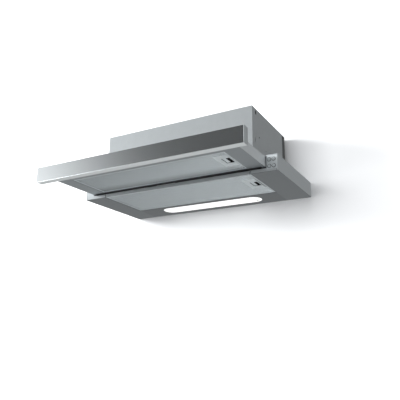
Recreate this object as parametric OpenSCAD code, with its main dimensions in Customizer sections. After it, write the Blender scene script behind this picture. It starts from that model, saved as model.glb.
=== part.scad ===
// Pull-out range hood of the 60 cm class. A fixed frame and a blower casing hang under a wall
// cabinet, and a filter drawer with a steel front panel slides out on three-member ball slides.
// +X is to the right of a person facing the hood, +Y points to the wall and +Z is up.
// The origin is on the wall, at mid width, level with the underside of the fixed frame.
// The drawer is drawn pulled out, with both grease filters closed.

/* [Fixed frame] */
// Width of the hood
frame_w = 598; // [580:1:700]
// Depth of the fixed frame, from the wall to its front
frame_d = 264; // [260:1:290]
// Height of the fixed frame
frame_h = 42; // [41:0.5:48]
// Thickness of the folded sheet steel
sheet = 1; // [0.8:0.1:1.2]
// Width of an end box, beside the drawer
end_box_w = 29; // [27:0.5:34]
// Width of an end box with the shelf that reaches below the drawer
end_shelf_w = 70.5; // [66:0.5:76]
// Height of that shelf
shelf_h = 9; // [8.5:0.1:10]
// Wall of the moulded end boxes
box_wall = 2; // [1.6:0.1:2.4]
// Depth of the rear band that holds the lamp
lamp_band = 92.5; // [84:0.5:100]

/* [Blower casing] */
// Width of the casing
casing_w = 463; // [440:1:474]
// Height of the casing's top above the underside
hood_h = 188.5; // [187:0.5:220]
// Setback of the casing from the front of the fixed frame
casing_setback = 8.5; // [4:0.5:14]
// Gap between the casing and the wall
casing_rear_gap = 16; // [10:0.5:18]
// Depth of the strip of the rear cover that shows at the side
rear_strip = 24; // [18:0.5:30]
// Outer radius of the duct collar
collar_r = 60; // [56:0.5:62]
// Height of the duct collar above the casing
collar_h = 30; // [24:1:50]
// Wall of the duct collar
collar_wall = 2; // [1.6:0.1:2.6]

/* [Blower] */
// Radius of the blower wheel
wheel_r = 55; // [50:0.5:56]
// Width of the blower wheel
wheel_w = 110; // [90:1:112]
// Number of blades
blade_count = 32; // [20:1:40]
// Radial depth of a blade
blade_depth = 11; // [9:0.5:13]
// Thickness of a blade
blade_t = 1; // [0.8:0.1:1.2]
// Radius of the motor
motor_r = 33; // [28:0.5:35]
// Length of the motor
motor_len = 58; // [45:1:62]
// Radius of the motor shaft
shaft_r = 4; // [3:0.25:5]
// Wall of the volute
volute_wall = 2; // [1.6:0.1:2.2]
// Growth of the volute's radius in each quarter turn
volute_step = 8; // [6:0.5:8.5]

/* [Drawer] */
// Travel of the drawer
travel = 172; // [150:1:176]
// Depth of the front panel
panel_d = 20; // [16:0.5:24]
// Height of the front panel
panel_h = 40.5; // [38:0.5:41]
// Gap between the closed panel and the fixed frame
closing_gap = 1; // [1:0.1:2]
// Gap between the drawer's underside and the shelves
drawer_gap = 2.5; // [2:0.1:3]
// Gap between the drawer and the top of the fixed frame
top_gap = 1.5; // [1:0.1:2]
// Gap between the drawer and each end box
side_gap = 2.5; // [2.2:0.1:3.5]
// Width of the channel that holds a slide
channel_w = 25.5; // [24.5:0.5:30]

/* [Ball slides] */
// Height of the outer rail
rail_h = 23; // [22.6:0.1:24]
// Steel thickness of the rails
rail_t = 1; // [0.8:0.1:1.1]
// Diameter of the balls
ball_d = 2.4; // [2.2:0.1:2.6]
// Clearance above and below a ball
ball_clear = 0.15; // [0.1:0.05:0.2]
// Balls in each row
ball_count = 5; // [3:1:6]
// Length of a ball cage
cage_len = 100; // [80:1:110]

/* [Filters] */
// Half width of the drawer's filter
front_half = 225; // [220:0.5:230]
// Thickness of a filter
filter_t = 6.5; // [6:0.1:6.8]
// Width of a filter's rim
rim_w = 4; // [3.5:0.1:4.2]
// Distance from the middle of a latch to the right end of the drawer's filter
latch_inset = 22.5; // [22:0.5:29]
// Place of the latches, forward of a filter's middle
latch_forward = 8; // [0:0.5:12]
// Width of a latch plate
latch_w = 36; // [34:0.5:37]
// Length of a latch plate
latch_l = 72; // [64:1:78]
// Travel of a latch bolt
latch_travel = 5; // [4.6:0.1:5.2]

/* [Lamp and buttons] */
// Length of the light's diffuser
lens_l = 328; // [280:1:340]
// Width of the light's diffuser
lens_w = 52; // [40:1:54]
// Place of the light along the width
lens_x = 4; // [-10:0.5:10]
// Distance of the light's middle from the wall
lens_y = 51; // [44:0.5:56]
// Radius of a push button
button_r = 3.9; // [3.4:0.1:4]
// Travel of a push button
button_travel = 1.5; // [1:0.1:1.6]
// Spacing of the buttons across
button_dx = 11.5; // [11:0.1:12]
// Spacing of the buttons up and down
button_dz = 17; // [15:0.5:18]

/* [Fixings] */
// Radius of the holes for the screws from the cabinet
fix_r = 2.25; // [2:0.05:2.5]
// Distance of the front fixing holes from the front of the frame
fix_front = 34; // [26:0.5:40]
// Distance of the rear fixing holes from the wall
fix_rear = 34; // [26:0.5:40]
// Radius of the cable inlet's bore
inlet_r = 4; // [3:0.25:5]

/* [Hidden] */
$fn = 96;

// Cutters run this far past what they cut
over = 1;
// Small running gap between pieces that are screwed or clipped together
seat = 0.1;
// Running gap of a shaft or pin in its bore, on the radius
run = 0.05;

// Fixed frame
half_w = frame_w / 2;
front_y = -frame_d;
box_x = half_w - end_box_w;
shelf_x = half_w - end_shelf_w;
box_front_wall = box_wall + 1;
roof_z = frame_h - sheet;
crossbar_t = 2;
crossbar_half = shelf_x - 2.5;
crossbar_lip = 12;
tab_l = 18;

fix_x = half_w - end_box_w / 2;
tab_x = shelf_x + 10;
tab_y = [front_y + 7.5, -lamp_band + 18, -22];

// Casing
casing_screw_x = [-200, -100, 100, 200];
casing_half = casing_w / 2;
casing_front = front_y + casing_setback;
casing_back = -casing_rear_gap;
side_back = casing_back - rear_strip;
casing_flange = 9;
throat_front = casing_front + sheet + casing_flange;
throat_back = casing_back - 4;
casing_roof = hood_h - sheet;
casing_screw_y = casing_front + sheet + casing_flange / 2;

// Blower, seen along its axis, with the wheel's centre as the volute's origin
tongue_gap = 7;
volute_r = wheel_r + tongue_gap;
volute_low = volute_r + 1.5 * volute_step;
volute_back = volute_r + 2.5 * volute_step;
lip_l = 4;
wheel_y = casing_back - sheet - 5 - volute_wall - volute_back;
wheel_z = frame_h + 2 + volute_wall + volute_low;
volute_half = wheel_w / 2 + 5;
volute_top = casing_roof - wheel_z;
neck_front = volute_back - 2 * (collar_r - collar_wall);
collar_y = wheel_y + volute_back - collar_r + collar_wall;
inlet_hole_r = wheel_r - blade_depth - 1;
hub_r = 11;
disc_t = 2;
hub_back = 4;
hub_out = 12;
end_ring_w = 3;
motor_end_x = -disc_t - 12;
motor_start_x = motor_end_x - motor_len;
spider_t = 8;
spider_arm_r = inlet_hole_r + 6.5;

// Electric pieces in the casing
capacitor_x = -170;
capacitor_r = 15;
capacitor_l = 56;
capacitor_end = 5;
capacitor_up = 45;
clip_half = 10;
clip_t = 4.5;
terminal_x = 170;
terminal_w = 84;
terminal_d = 46;
terminal_h = 40;
gland_r = inlet_r + 3;
gland_y = casing_back - 30;

// Duct collar and its flaps
ear_angles = [45:90:315];
ear_r = collar_r + 7;
flap_gap = 4;
flap_t = 1.2;
flap_z = hood_h + 11;
flap_bead_r = 2.2;
flap_pin_r = 1.4;
flap_r = collar_r - collar_wall - 0.8;

// Drawer, pulled out
panel_screw_x = [-180, -60, 60, 180];
drawer_half = box_x - side_gap;
pan_z = shelf_h + drawer_gap;
drawer_top = roof_z - top_gap;
panel_back = front_y - closing_gap - travel;
panel_front = panel_back - panel_d;
pan_back = front_y + 4;
arm_back = -10 - travel;
channel_x = drawer_half - channel_w;
cover_z = drawer_top - 3;
arm_flange = 8;
bumper_in = 20;
panel_screw_l = 6;

// Ball slides, right side; places up and down are from the slide's middle
slide_z = (pan_z + sheet + drawer_top) / 2;
slide_x = drawer_half - sheet;
rail_depth = 12.5;
outer_x = slide_x - rail_depth;
bracket_t = 2;
ball_space = ball_d + 2 * ball_clear;
outer_in = rail_h / 2 - rail_t;
mid_out = outer_in - ball_space;
mid_in = mid_out - rail_t;
inner_out = mid_in - ball_space;
outer_ball = outer_in - ball_space / 2;
inner_ball = mid_in - ball_space / 2;
lip = 1.2;
ball_x = slide_x - 6.3;
rail_end = 6;
outer_rail_y = [front_y + rail_end, -rail_end];
mid_rail_y = [outer_rail_y[0] - travel / 2, outer_rail_y[1] - 2 - travel / 2];
inner_rail_y = [panel_back + 5, arm_back];
outer_cage_y = (outer_rail_y[0] + mid_rail_y[1]) / 2;
inner_cage_y = (mid_rail_y[0] + inner_rail_y[1]) / 2;
ball_pitch = (cage_len - 12) / (ball_count - 1);
cage_t = 0.4;
cage_strip = 0.6;

// Filters: half width, front edge, rear edge and height of the lower face
filter_gap = 0.6;
front_open = [panel_back + 36, pan_back - 15];
rear_open = [front_y + crossbar_t + 0.4, -lamp_band];
rear_half = shelf_x - 1;
proud = 0.5;
front_filter_y = [front_open[0] + filter_gap, front_open[1] - filter_gap];
rear_filter_y = [rear_open[0] + filter_gap, rear_open[1] - filter_gap];
front_filter_z = pan_z + proud;
rear_filter_z = proud;
hinge_r = 3;
hinge_pin_r = 1.5;
pan_flange_h = 8;
front_latch_y = (front_filter_y[0] + front_filter_y[1]) / 2 - latch_forward;
rear_latch_y = (rear_filter_y[0] + rear_filter_y[1]) / 2 - latch_forward;
rear_latch_step = 2.5;
front_latch_x = front_half - latch_inset;
rear_latch_x = rear_half - latch_inset - rear_latch_step;
front_bolt_tip = front_half + filter_gap + sheet + 2.9;
rear_bolt_tip = shelf_x + box_wall + 1;

// Latch, with its places from its middle and its heights from the filter's lower face
plate_t = 1.2;
pocket_l = 38;
pocket_left = -12;
pocket_right = 16;
pocket_wall = 1;
pocket_top = 7.4;
window_left = -5.5;
window_l = 34;
grip_left = -4.5;
grip_w = 9;
grip_low = 1;
bolt_low = 5;
bolt_t = 2;
bolt_w = 16;

// Lamp
lens_t = 1.5;
lens_lip = 5;
lamp_h = 14;
driver_l = 38;
driver_h = 20;
driver_rib = 3;
driver_margin = 4;
driver_gap = 3;
driver_left = driver_margin - shelf_x;
driver_right = min(driver_left + driver_l, lens_x - lens_l / 2 - lens_lip - driver_gap);
chip_w = 3;
board_half = 10;

// Keypad, on the front of the right end box
key_left = box_x + 1.2;
key_right = half_w - 1.2;
key_low = 6;
key_high = min(40, frame_h - 2);
key_plate_t = 1.4;
key_plate_back = front_y + box_wall;
button_x = box_x + 7.4;
button_z = 13.3;
button_face = key_plate_back - key_plate_t - 1.2;
button_back = button_face + 11;

// Switch that starts the blower when the drawer is pulled
switch_w = 6.5;
switch_left = outer_x - bracket_t - 27;
switch_x = [switch_left, switch_left + switch_w];
switch_front = pan_back + travel + 4.6;
switch_l = 19.8;
switch_h = 10;
lever_l = 4.2;
lever_t = 0.5;
lever_lean = 50;
switch_margin = 3;

// Half width of the throat, which leaves the roof a strip that carries the switch
throat_x = min(casing_half - sheet - casing_flange, switch_left - switch_margin);

// Colours
painted = [0.66, 0.68, 0.69];
galvanised = [0.52, 0.54, 0.55];
stainless = [0.72, 0.72, 0.71];
moulded = [0.60, 0.62, 0.63];
mesh_grey = [0.58, 0.60, 0.60];
black_plastic = [0.08, 0.08, 0.09];
white_plastic = [0.93, 0.93, 0.92];
board_green = [0.10, 0.35, 0.20];
zinc = [0.70, 0.71, 0.72];

// Limits about a middle place
function about(middle, half) = [middle - half, middle + half];

// A box between two limits on each axis
module slab(x, y, z) {
  translate([x[0], y[0], z[0]]) cube([x[1] - x[0], y[1] - y[0], z[1] - z[0]]);
}

// What stands on the right, and its mirror image on the left
module both_sides() {
  children();
  mirror([1, 0, 0]) children();
}

// A round bar along X, from x0 to x1
module bar_x(x0, x1, r) {
  translate([x0, 0, 0]) rotate([0, 90, 0]) cylinder(r = r, h = x1 - x0);
}

// A round bar along Y, from y0 to y1
module bar_y(y0, y1, r) {
  translate([0, y0, 0]) rotate([-90, 0, 0]) cylinder(r = r, h = y1 - y0);
}

// A flat shape with round ends, along X
module oblong(l, w) {
  square([l - w, w], center = true);
  for (side = [-1, 1]) translate([side * (l - w) / 2, 0]) circle(d = w);
}

// A rectangle with round corners
module rounded(x, y, r) {
  translate([x[0] + r, y[0]]) square([x[1] - x[0] - 2 * r, y[1] - y[0]]);
  translate([x[0], y[0] + r]) square([x[1] - x[0], y[1] - y[0] - 2 * r]);
  for (cx = [x[0] + r, x[1] - r], cy = [y[0] + r, y[1] - r]) translate([cx, cy]) circle(r);
}

// Pan-head screw, its head at the origin and its shank along -Z
module screw(head_r, shank_r, shank_l) {
  cylinder(r = head_r, h = 1.6);
  translate([0, 0, -shank_l]) cylinder(r = shank_r, h = shank_l + over / 2);
}

// Blower casing: front, sides and top folded from one sheet
module upper_casing() {
  color(painted) difference() {
    union() {
      slab([-casing_half, casing_half], [casing_front, casing_front + sheet], [frame_h, hood_h]);
      slab([-casing_half, casing_half], [casing_front, casing_back], [casing_roof, hood_h]);
      slab([-casing_half, casing_half], [casing_front, throat_front],
           [frame_h, frame_h + sheet]);
      slab([-throat_x, throat_x], [casing_back - 2 * sheet - seat, casing_back - sheet - seat],
           [hood_h - 27, hood_h]);
      both_sides() {
        slab([casing_half - sheet, casing_half], [casing_front, side_back], [frame_h, hood_h]);
        slab([throat_x, casing_half], [casing_front, side_back], [frame_h, frame_h + sheet]);
      }
    }
    translate([0, collar_y, casing_roof - over])
      cylinder(r = collar_r - collar_wall, h = sheet + 2 * over);
    translate([terminal_x, gland_y, casing_roof - over])
      cylinder(r = gland_r, h = sheet + 2 * over);
    both_sides() side_cuts();
    for (x = casing_screw_x) {
      translate([x, casing_screw_y, frame_h - over]) cylinder(r = 1.6, h = sheet + 2 * over);
      translate([x, 0, hood_h - 20]) bar_y(casing_back - 3 * sheet, casing_back + over, 1.6);
    }
    at_ears() translate([0, 0, -2 * over]) cylinder(r = 1.6, h = sheet + 2 * over);
  }
}

// Holes for clips in a side of the casing
module side_cuts() {
  cut = [casing_half - sheet - over, casing_half + over];
  slab(cut, [casing_front + 21, casing_front + 23.5], [hood_h - 16, hood_h - 6]);
  for (hole = [[44.5, 115, 2.2], [90, 92, 1.7], [116, 97, 1.7]])
    translate([0, casing_front + hole[0], hole[1]]) bar_x(cut[0], cut[1], hole[2]);
  translate([cut[0], casing_front + 30, 101]) rotate([0, 90, 0]) linear_extrude(sheet + 2 * over)
    intersection() {
      difference() {
        circle(12);
        circle(10);
      }
      translate([-7, -13]) square([14, 8]);
    }
}

// Rear cover of the casing, with side flanges that slip inside the sides
module rear_casing() {
  half = casing_half - sheet - seat;
  low = frame_h;
  color(galvanised) difference() {
    union() {
      slab([-half, half], [casing_back - sheet, casing_back], [low, casing_roof - seat]);
      slab([-half, half], [casing_back - 4, casing_back], [low, low + sheet]);
      both_sides() slab([half - sheet, half], [side_back - 8, casing_back],
                        [frame_h + sheet, casing_roof - seat]);
    }
    for (x = casing_screw_x)
      translate([x, 0, hood_h - 20]) bar_y(casing_back - 2 * sheet, casing_back + over, 1.6);
  }
}

// Folded frame over the drawer: roof with the throat to the blower, rear wall and side walls
module frame_pan() {
  color(galvanised) difference() {
    union() {
      slab([-box_x, box_x], [front_y, 0], [roof_z, frame_h]);
      slab([-box_x, box_x], [-sheet, 0], [0, frame_h]);
      both_sides() slab([box_x - sheet, box_x], [front_y + box_front_wall, 0],
                        [shelf_h, frame_h]);
    }
    translate([0, 0, roof_z - over]) linear_extrude(sheet + 2 * over)
      rounded([-throat_x, throat_x], [throat_front, throat_back], 6);
    for (x = casing_screw_x)
      translate([x, casing_screw_y, roof_z - over]) cylinder(r = 1.6, h = sheet + 2 * over);
  }
}

// Bar under the drawer at the front of the fixed frame
module front_crossbar() {
  top = shelf_h;
  color(galvanised) difference() {
    union() {
      slab([-crossbar_half, crossbar_half], [front_y + 0.4, front_y + 0.4 + crossbar_t], [1, top]);
      slab([-crossbar_half, crossbar_half], [front_y + 0.4, front_y + crossbar_lip],
           [top - 0.7, top + 0.3]);
      both_sides() slab([crossbar_half - 4, shelf_x + tab_l], [front_y + 3, front_y + crossbar_lip],
                        [top, top + 1.2]);
    }
    hinge_holes(rear_half, rear_filter_y, rear_filter_z);
    rivet_holes();
  }
}

// Holes of the rivets on the shelves
module rivet_holes() {
  for (x = [-tab_x, tab_x], y = tab_y)
    translate([x, y, shelf_h - 2]) cylinder(r = 1.6, h = 4);
}

// Blind holes for the stub pins of a filter, at its left end
module hinge_holes(half, y, z) {
  translate([-half + hinge_r, 0, z + hinge_r])
    bar_y(y[0] - filter_gap - 1.4, y[1] + filter_gap + 2 * sheet, hinge_pin_r + run);
}

// Moulded box at the right end of the frame, with the shelf that reaches below the drawer.
// It is open towards the drawer, where the side wall of the frame covers it.
module end_box() {
  difference() {
    union() {
      linear_extrude(frame_h) end_plan();
      slab([shelf_x, box_x + box_wall], [front_y, -sheet], [0, shelf_h]);
    }
    difference() {
      slab([box_x - sheet, half_w - box_wall], [front_y + box_front_wall, -box_wall],
           [box_wall, frame_h - box_wall]);
      slab([box_x - over, box_x], [front_y, 0], [0, shelf_h]);
      for (y = [front_y + fix_front, -fix_rear])
        translate([fix_x, y, frame_h / 3]) cylinder(r = fix_r + 2.75, h = frame_h);
      for (y = [0.25, 0.5, 0.75])
        slab([half_w - 5, half_w], [y * front_y, y * front_y + 1.5], [0, frame_h]);
    }
    slab([shelf_x + box_wall, box_x + over], [front_y + box_front_wall, -box_wall - sheet],
         [box_wall, shelf_h - 1.5]);
    for (y = [front_y + fix_front, -fix_rear])
      translate([fix_x, y, frame_h / 3 - over]) cylinder(r = fix_r, h = frame_h);
    rivet_holes();
  }
}

// Outline of an end box from above, with its outer corners rounded
module end_plan() {
  front_round = 1.5;
  back_round = 4;
  translate([box_x, front_y]) square([end_box_w - back_round, frame_d]);
  translate([box_x, front_y + front_round])
    square([end_box_w, frame_d - front_round - back_round]);
  translate([half_w - front_round, front_y + front_round]) circle(front_round);
  translate([half_w - back_round, -back_round]) circle(back_round);
}

module left_end_box() {
  color(moulded) mirror([1, 0, 0]) end_box();
}

// The right end box also carries the keypad and the keeper of the rear filter's latch
module right_end_box() {
  color(moulded) difference() {
    end_box();
    slab([key_left, key_right], [front_y - over, key_plate_back], [key_low, key_high]);
    slab([key_left + 0.8, key_right - 1.8], [front_y - over, key_plate_back + 2 * over],
         [key_low + 2, key_high - 2]);
    slab([shelf_x - over, rear_bolt_tip + 0.5], about(rear_latch_y, bolt_w / 2 + 0.4),
         [rear_filter_z + bolt_low - 0.4, rear_filter_z + bolt_low + bolt_t + 0.4]);
  }
}

// Rear band of the underside, with the slot of the light
module lamp_panel() {
  half = shelf_x - seat;
  color(painted) difference() {
    union() {
      slab([-half, half], [-lamp_band, -sheet - seat], [0, sheet]);
      slab([-half, half], [-lamp_band, -lamp_band + sheet], [0, shelf_h]);
      both_sides() {
        slab([half - sheet, half], [-lamp_band, -sheet - seat], [0, shelf_h]);
        slab([half - sheet, shelf_x + tab_l], [-lamp_band + 8, -12], [shelf_h, shelf_h + 1.2]);
      }
    }
    translate([lens_x, -lens_y, -over]) linear_extrude(sheet + 2 * over)
      oblong(lens_l, lens_w);
    hinge_holes(rear_half, rear_filter_y, rear_filter_z);
    rivet_holes();
  }
}

// Opal diffuser: its face fills the slot and its lip lies on the panel
module lamp_lens() {
  color(white_plastic) translate([lens_x, -lens_y, 0]) difference() {
    union() {
      linear_extrude(sheet + lens_t) oblong(lens_l - 2 * seat, lens_w - 2 * seat);
      translate([0, 0, sheet]) linear_extrude(lens_t) oblong(lens_l + 2 * lens_lip, lens_w + 8);
    }
    translate([lens_l / 2 - 17, 12, -over]) cylinder(r = 1.6, h = lens_t + sheet + 2 * over);
  }
}

// Tray above the diffuser that holds the light's board
module lamp_housing() {
  low = sheet + lens_t;
  color(white_plastic) translate([lens_x, -lens_y, low]) difference() {
    linear_extrude(lamp_h - low) oblong(lens_l + 2 * lens_lip, lens_w + 8);
    translate([0, 0, -over]) linear_extrude(lamp_h - low - 1.2 + over)
      oblong(lens_l + 2 * lens_lip - 4, lens_w + 4);
  }
}

// Board with its light chips facing down
module led_board() {
  top = lamp_h - 1.2;
  count = 16;
  pitch = (lens_l - lens_w) / (count - 1);
  color(white_plastic) translate([lens_x, -lens_y, 0]) {
    slab(about(0, lens_l / 2 - lens_w / 3), about(0, board_half), [top - 1.6, top]);
    for (i = [0:count - 1])
      slab(about((i - (count - 1) / 2) * pitch, chip_w / 2 + 0.3), about(0, chip_w / 2),
           [top - 2.6, top - 1.6]);
  }
}

// Supply of the light, on the rear band beside the lamp
module led_driver() {
  color(black_plastic) difference() {
    slab([driver_left, driver_right], [-lamp_band + 6, casing_back - 4], [sheet, sheet + driver_h]);
    for (i = [0:4])
      slab([driver_left + 5, driver_right - 5], about(-lamp_band + 19 + 10 * i, driver_rib / 2),
           [sheet + driver_h - 1, sheet + driver_h + over]);
  }
}

// Face of the keypad, with a hole for each push button
module keypad_plate() {
  color(moulded) difference() {
    slab([key_left + seat, key_right - seat], [key_plate_back - key_plate_t, key_plate_back],
         [key_low + seat, key_high - seat]);
    for (i = [0, 1], j = [0, 1])
      translate([button_x + i * button_dx, 0, button_z + j * button_dz])
        bar_y(front_y - over, front_y + 2 * box_wall, button_r + 0.15);
  }
}

// Board behind the keypad, with the switch that each button presses
module keypad_board() {
  board_front = button_back + button_travel + 0.3;
  color(board_green) {
    slab([box_x + seat, key_right - 1.8], [board_front, board_front + 1.6], [6, frame_h - 3]);
    slab([box_x + 8, half_w - box_wall - 2], [board_front + 1.6, board_front + 11], [24, 36]);
  }
}

// A push button: dished cap, collar behind the plate, and stem; i and j count across and up
module button(i, j) {
  color(zinc) translate([button_x + i * button_dx, 0, button_z + j * button_dz]) difference() {
    union() {
      bar_y(button_face, key_plate_back + 0.1, button_r);
      bar_y(key_plate_back + 0.1, key_plate_back + 1.1, button_r + 0.8);
      bar_y(key_plate_back + 1.1, button_back, 1.5);
    }
    bar_y(button_face - over, button_face + 0.5, button_r - 1.3);
  }
}

// Outline of the volute's air space in the plane across the wheel, grown by a wall and cut
// off at a height
module volute_outline(grow, top) {
  a = volute_step / 2;
  big = 2 * volute_back;
  intersection() {
    translate([-a, -a]) circle(volute_r + grow);
    translate([-a - big, -a]) square([big, big]);
  }
  intersection() {
    translate([a, -a]) circle(volute_r + volute_step + grow);
    translate([a - big, -a - big]) square([big, big]);
  }
  intersection() {
    translate([a, a]) circle(volute_r + 2 * volute_step + grow);
    translate([a, a - big]) square([big, big]);
  }
  translate([-a, -a]) square([2 * a, volute_r]);
  translate([-a, a]) square([volute_back + grow + a, top - a]);
  polygon([
    [-a, volute_r / 2], [-a, top], [neck_front - grow, top],
    [neck_front - grow, volute_top - 4], [-a - 14 - grow, volute_r - a - 2]
  ]);
}

// Cross-section of the volute: Y of the hood across and Z of the hood up
module in_volute(x0, x1) {
  translate([x0, wheel_y, wheel_z]) rotate([90, 0, 90]) linear_extrude(x1 - x0) children();
}

// Right half of the volute, with its inlet mouth and a joint flange at mid width
module volute_half_shell() {
  difference() {
    union() {
      in_volute(0, volute_half + volute_wall) volute_outline(volute_wall, volute_top);
      translate([0, wheel_y, wheel_z])
        bar_x(volute_half + volute_wall, volute_half + volute_wall + lip_l, inlet_hole_r + 3);
      at_lugs() bar_x(0, 3, 6);
    }
    in_volute(-over, volute_half) volute_outline(0, volute_top + over);
    translate([0, wheel_y, wheel_z])
      bar_x(0, volute_half + volute_wall + lip_l + over, inlet_hole_r);
    at_lugs() bar_x(-over, 3 + over, 1.7);
  }
}

// Middles of the lugs that join the two halves: at the front and at the lower front corner
module at_lugs() {
  reach = volute_wall + 3.8;
  low_r = (volute_r + volute_step + reach) * sqrt(0.5);
  step = volute_step / 2;
  translate([0, wheel_y - volute_r - step - reach, wheel_z - step]) children();
  translate([0, wheel_y + step - low_r, wheel_z - step - low_r]) children();
}

// Middles of the screws that hold the spider on the left side of the volute
module at_feet() {
  for (i = [0:2])
    translate([0, wheel_y, wheel_z]) rotate([120 * i + 90, 0, 0])
      translate([-volute_half - volute_wall, spider_arm_r, 0]) children();
}

module volute_left() {
  color(black_plastic) difference() {
    mirror([1, 0, 0]) volute_half_shell();
    at_feet() bar_x(-over, volute_wall + over, 1.6);
  }
}

module volute_right() {
  color(black_plastic) volute_half_shell();
}

// Centre disc of the blower wheel, with the hub on the shaft
module wheel_disc() {
  color(white_plastic) translate([0, wheel_y, wheel_z]) rotate([0, 90, 0]) difference() {
    union() {
      translate([0, 0, -disc_t]) cylinder(r = wheel_r - 0.3, h = disc_t);
      translate([0, 0, -disc_t - hub_back]) cylinder(r = hub_r, h = disc_t + hub_back + hub_out);
    }
    translate([0, 0, -wheel_w / 2]) cylinder(r = shaft_r + 0.02, h = wheel_w);
  }
}

// Row of blades between two places on the axis, with an end ring that starts at the third
module blade_ring(from, to, end) {
  inner = wheel_r - blade_depth;
  color(white_plastic) translate([0, wheel_y, wheel_z]) rotate([0, 90, 0]) {
    translate([0, 0, from]) linear_extrude(to - from) blades(inner);
    translate([0, 0, end]) difference() {
      cylinder(r = wheel_r, h = end_ring_w);
      translate([0, 0, -over]) cylinder(r = inner + 0.6 * blade_depth, h = end_ring_w + 2 * over);
    }
  }
}

module left_blade_ring() {
  blade_ring(-wheel_w / 2, -disc_t, -wheel_w / 2);
}

module right_blade_ring() {
  blade_ring(0, wheel_w / 2, wheel_w / 2 - end_ring_w);
}

// All blades, as crescents between two circles, from the inner radius to the rim
module blades(inner) {
  bend = 0.8 * blade_depth;
  intersection() {
    difference() {
      circle(wheel_r - 0.3);
      circle(inner);
    }
    for (i = [0:blade_count - 1])
      rotate(i * 360 / blade_count) translate([inner + blade_depth / 2, bend / 2])
        intersection() {
          difference() {
            circle(bend);
            circle(bend - blade_t);
          }
          translate([-blade_depth, -2 * bend]) square([2 * blade_depth, 2 * bend]);
        }
  }
}

// Motor with its bearing bosses; the blower wheel's left half turns round it
module motor() {
  color(galvanised) translate([0, wheel_y, wheel_z]) difference() {
    union() {
      bar_x(motor_start_x, motor_end_x, motor_r);
      bar_x(motor_start_x - 5, motor_end_x + 4, 9);
    }
    bar_x(motor_start_x - 10, motor_end_x + 10, shaft_r + run);
    for (i = [0:7]) rotate([45 * i, 0, 0]) translate([0, motor_r, 0])
      bar_x(motor_start_x - over, motor_start_x + 12, 3);
  }
}

// Spider that holds the motor in front of the left inlet
module motor_spider() {
  out = -volute_half - volute_wall - lip_l;
  foot = spider_arm_r + 4;
  color(galvanised) difference() {
    translate([0, wheel_y, wheel_z]) {
      bar_x(out - spider_t, out, motor_r + 4);
      for (i = [0:2]) rotate([120 * i + 90, 0, 0]) {
        slab([out - 3, out], [0, foot], [-6, 6]);
        slab([out - over, out + lip_l], [inlet_hole_r + 3 + seat, foot], [-6, 6]);
      }
    }
    translate([0, wheel_y, wheel_z])
      bar_x(out - spider_t - over, out + over, motor_r + seat);
    at_feet() bar_x(-lip_l - 4, over, 1.7);
  }
}

// Shaft of the motor, which carries the wheel
module motor_shaft() {
  color(zinc) translate([0, wheel_y, wheel_z]) bar_x(motor_start_x - 8, 16, shaft_r);
}

// Screws of the blower: three hold the spider and two join the halves of the volute
module blower_screws() {
  color(zinc) {
    at_feet() translate([-lip_l + 1 - lip_l, 0, 0]) rotate([0, -90, 0]) screw(3, 1.5, lip_l + 5);
    at_lugs() translate([3, 0, 0]) rotate([0, 90, 0]) screw(3, 1.6, 8);
  }
}

// Run capacitor in its clip on the rear cover
module capacitor() {
  back = casing_back - sheet;
  y = back - capacitor_r - 3;
  z = frame_h + capacitor_up;
  color(white_plastic) {
    translate([capacitor_x, y, z]) bar_x(-capacitor_l / 2, capacitor_l / 2, capacitor_r);
    translate([capacitor_x, y, z])
      bar_x(capacitor_l / 2, capacitor_l / 2 + capacitor_end, capacitor_r / 4);
    slab(about(capacitor_x, clip_half), [back - clip_t, back], about(z, clip_half));
  }
}

// Box for the supply's terminals, on the rear cover under the cable inlet
module terminal_box() {
  back = casing_back - sheet;
  top = casing_roof - 32;
  color(black_plastic) difference() {
    slab(about(terminal_x, terminal_w / 2), [back - terminal_d, back],
         [top - terminal_h, top]);
    slab(about(terminal_x, terminal_w / 2 - 2),
         [back - terminal_d - over, back - 2], [top - terminal_h + 2, top - 2]);
    translate([terminal_x, gland_y, top - 3]) cylinder(r = inlet_r + 1, h = 5);
  }
}

// Rubber grommet of the cable inlet, in the roof of the casing
module cable_gland() {
  color(black_plastic) translate([terminal_x, gland_y, casing_roof]) difference() {
    union() {
      translate([0, 0, -2.5]) cylinder(r = gland_r + 2, h = 2.5 - 0.05);
      translate([0, 0, -2.5]) cylinder(r = gland_r - 0.1, h = sheet + 5);
      translate([0, 0, sheet + 0.05]) cylinder(r = gland_r + 2, h = 2.5 - 0.05);
    }
    translate([0, 0, -10]) cylinder(r = inlet_r, h = 20);
  }
}

// Collar for the air duct, with a mid bar and a ledge that the flaps close on
module duct_collar() {
  inner = collar_r - collar_wall;
  ledge = flap_z - hood_h - 3;
  color(black_plastic) difference() {
    translate([0, collar_y, hood_h]) {
      cylinder(r = collar_r, h = collar_h);
      linear_extrude(2) {
        circle(collar_r + 5);
        for (a = ear_angles) rotate(a) translate([ear_r, 0]) circle(6);
      }
    }
    difference() {
      translate([0, collar_y, hood_h - over]) cylinder(r = inner, h = collar_h + 2 * over);
      translate([0, collar_y, hood_h]) {
        difference() {
          cylinder(r = inner + over, h = ledge);
          translate([0, 0, -over]) cylinder(r = inner - 2.5, h = ledge + 2 * over);
        }
        slab(about(0, inner + over), [-1.5, 1.5], [ledge - 4, ledge]);
      }
    }
    for (y = [-flap_gap, flap_gap])
      translate([0, collar_y + y, flap_z])
        bar_x(-collar_r + 0.6, collar_r - 0.6, flap_pin_r + run);
    at_ears() translate([0, 0, -over]) cylinder(r = 1.6, h = 2 + 2 * over);
  }
}

// Middles of the collar's screw ears, on the casing's roof
module at_ears() {
  for (a = ear_angles)
    translate([0, collar_y, hood_h]) rotate(a) translate([ear_r, 0, 0]) children();
}

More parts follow.
